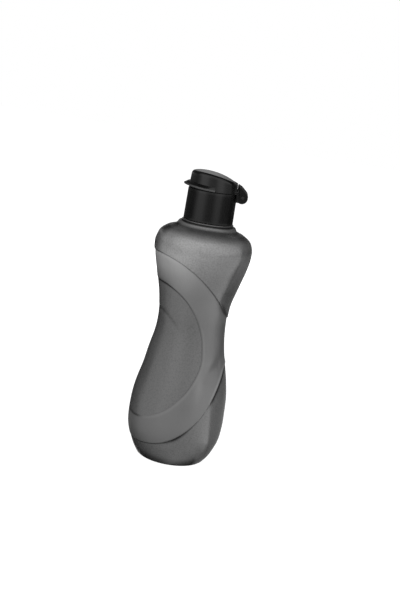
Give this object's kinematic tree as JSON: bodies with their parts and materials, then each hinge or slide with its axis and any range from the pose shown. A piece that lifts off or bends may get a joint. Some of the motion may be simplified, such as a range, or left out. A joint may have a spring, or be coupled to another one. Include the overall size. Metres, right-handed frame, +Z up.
{
  "type": "sports squeeze bottle",
  "caption": "Hourglass squeeze bottle with a smooth sweeping band between grained grip zones, a screw cap with drinking spout and a pin-hinged flip lid.",
  "frame": {"origin": "middle of the standing ring, on the surface the bottle stands on", "axes": "+Z up along the bottle's axis, +X towards the lid's hinge, -X towards the thumb lip"},
  "size_m": [0.0724, 0.0728, 0.2185],
  "materials": {
    "body": "satin polyethylene with fine moulded grain",
    "cap": "satin black polypropylene",
    "lid": "satin black polypropylene",
    "seal": "milky silicone",
    "stopper": "milky silicone",
    "pin": "black acetal rod"
  },
  "bodies": {
    "bottle": {"bottle_body": "body"},
    "washer": {"neck_gasket": "seal"},
    "cap": {"screw_cap": "cap"},
    "lid": {"flip_lid": "lid", "spout_stopper": "stopper", "hinge_pin": "pin"}
  },
  "joints": [
    {"name": "cap_rise", "type": "slide", "parent": "bottle", "child": "washer", "axis": [0, 0, 1], "range_m": [0, 0.02]},
    {"name": "cap_turn", "type": "hinge", "parent": "washer", "child": "cap", "pos_m": [0, 0, 0.19], "axis": [0, 0, 1], "range_deg": [0, 1800]},
    {"name": "lid_hinge", "type": "hinge", "parent": "cap", "child": "lid", "pos_m": [0.0222, 0, 0.204], "axis": [0, 1, 0], "range_deg": [0, 170]}
  ],
  "couplings": [
    {"joint": "cap_rise", "follows": "cap_turn", "m_per_rad": 0.00063662}
  ]
}
